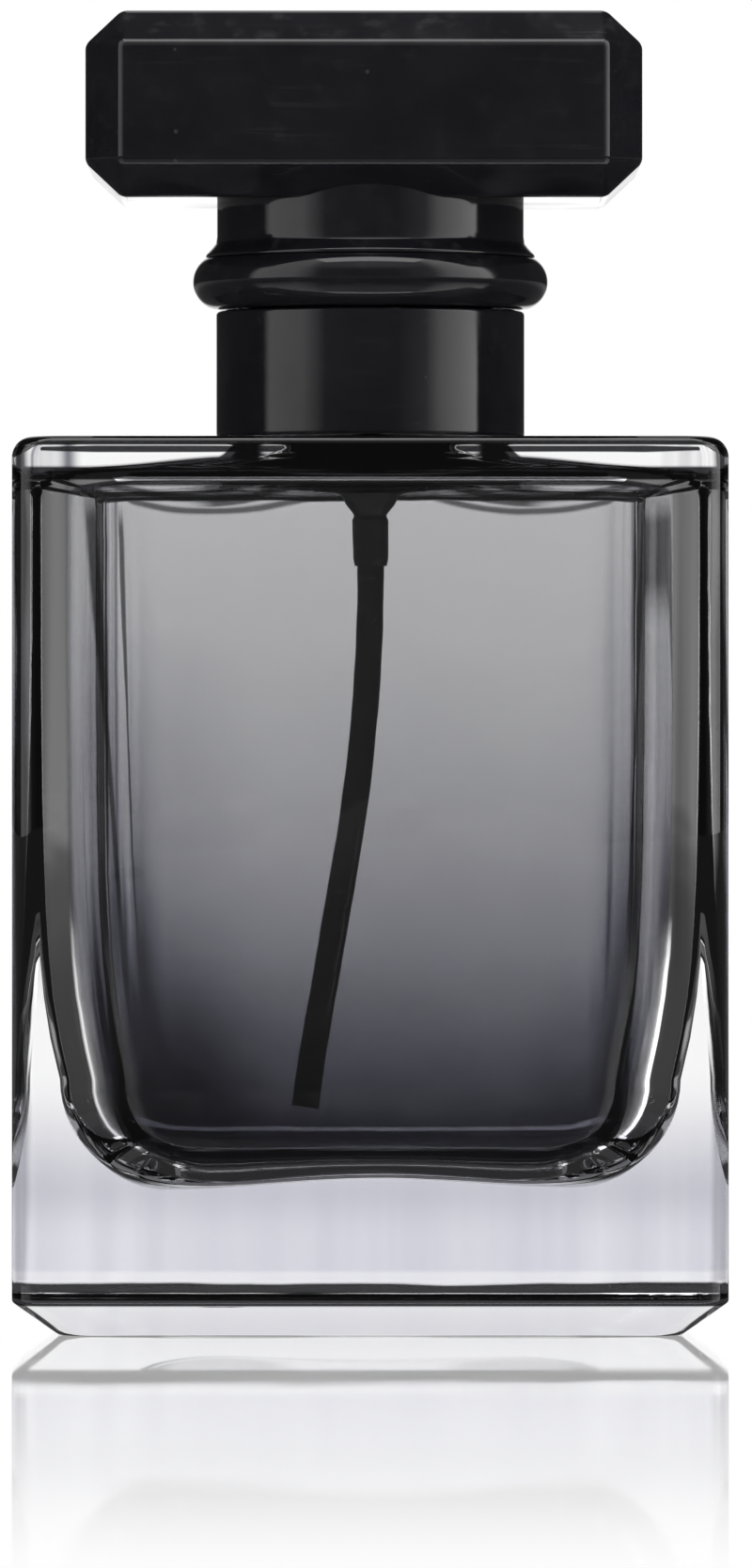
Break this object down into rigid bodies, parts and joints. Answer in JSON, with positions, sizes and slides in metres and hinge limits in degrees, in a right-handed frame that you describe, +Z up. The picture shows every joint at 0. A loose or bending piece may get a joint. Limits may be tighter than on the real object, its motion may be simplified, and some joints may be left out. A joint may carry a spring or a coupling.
{
  "type": "aftershave atomiser bottle",
  "caption": "Square heavy-based glass aftershave atomiser with a smoke-tinted inside, stepped black collar, crimped mist pump, curled dip tube and pull-off black T-bar cap.",
  "frame": {"origin": "centre of the glass foot, on the surface that the bottle stands on", "axes": "+Z up the pump's axis, +X along the wide face, the broad front face looks along -Y"},
  "size_m": [0.05, 0.03, 0.0928],
  "materials": {
    "clear_glass": "polished flint glass, smoke-grey lacquer inside",
    "gloss_black": "high gloss moulded black",
    "satin_black_plastic": "satin black moulded plastic",
    "black_tube": "black extruded tube",
    "black_anodised": "black anodised, polished",
    "natural_plastic": "natural unpigmented plastic",
    "black_rubber": "moulded rubber",
    "bright_aluminium": "bright rolled",
    "spring_steel": "drawn stainless"
  },
  "bodies": {
    "bottle": {"glass_bottle": "clear_glass", "neck_gasket": "natural_plastic", "ferrule": "bright_aluminium", "collar_liner": "satin_black_plastic", "collar": "gloss_black", "pump_housing": "satin_black_plastic", "turret": "natural_plastic", "stem_gasket": "black_rubber", "dip_tube": "black_tube", "return_spring": "spring_steel"},
    "inlet_ball": {"inlet_ball": "spring_steel"},
    "plunger": {"stem": "natural_plastic", "valve_pin": "natural_plastic", "valve_spring": "spring_steel"},
    "piston": {"piston": "natural_plastic"},
    "button": {"button_core": "satin_black_plastic", "button_shell": "black_anodised", "nozzle_insert": "satin_black_plastic"},
    "cap_liner": {"cap_liner": "satin_black_plastic"},
    "cap": {"cap_neck": "gloss_black", "cap_bead": "gloss_black", "cap_bar": "gloss_black"}
  },
  "joints": [
    {"name": "button_press", "type": "slide", "parent": "bottle", "child": "plunger", "axis": [0, 0, -1], "range_m": [0, 0.0035], "stiffness_N_per_m": 1500, "springref_m": -0.002, "deforming": ["return_spring"]},
    {"name": "button_turn", "type": "hinge", "parent": "plunger", "child": "button", "pos_m": [0, 0, 0.08], "axis": [0, 0, 1], "continuous": true},
    {"name": "outlet_valve", "type": "slide", "parent": "plunger", "child": "piston", "axis": [0, 0, 1], "range_m": [0, 0.0005], "stiffness_N_per_m": 1500, "springref_m": -0.001, "deforming": ["valve_spring"]},
    {"name": "inlet_valve", "type": "slide", "parent": "bottle", "child": "inlet_ball", "axis": [0, 0, 1], "range_m": [0, 0.0006]},
    {"name": "cap_lift", "type": "slide", "parent": "bottle", "child": "cap_liner", "axis": [0, 0, 1], "range_m": [0, 0.03]},
    {"name": "cap_turn", "type": "hinge", "parent": "cap_liner", "child": "cap", "pos_m": [0, 0, 0.08], "axis": [0, 0, 1], "continuous": true}
  ]
}
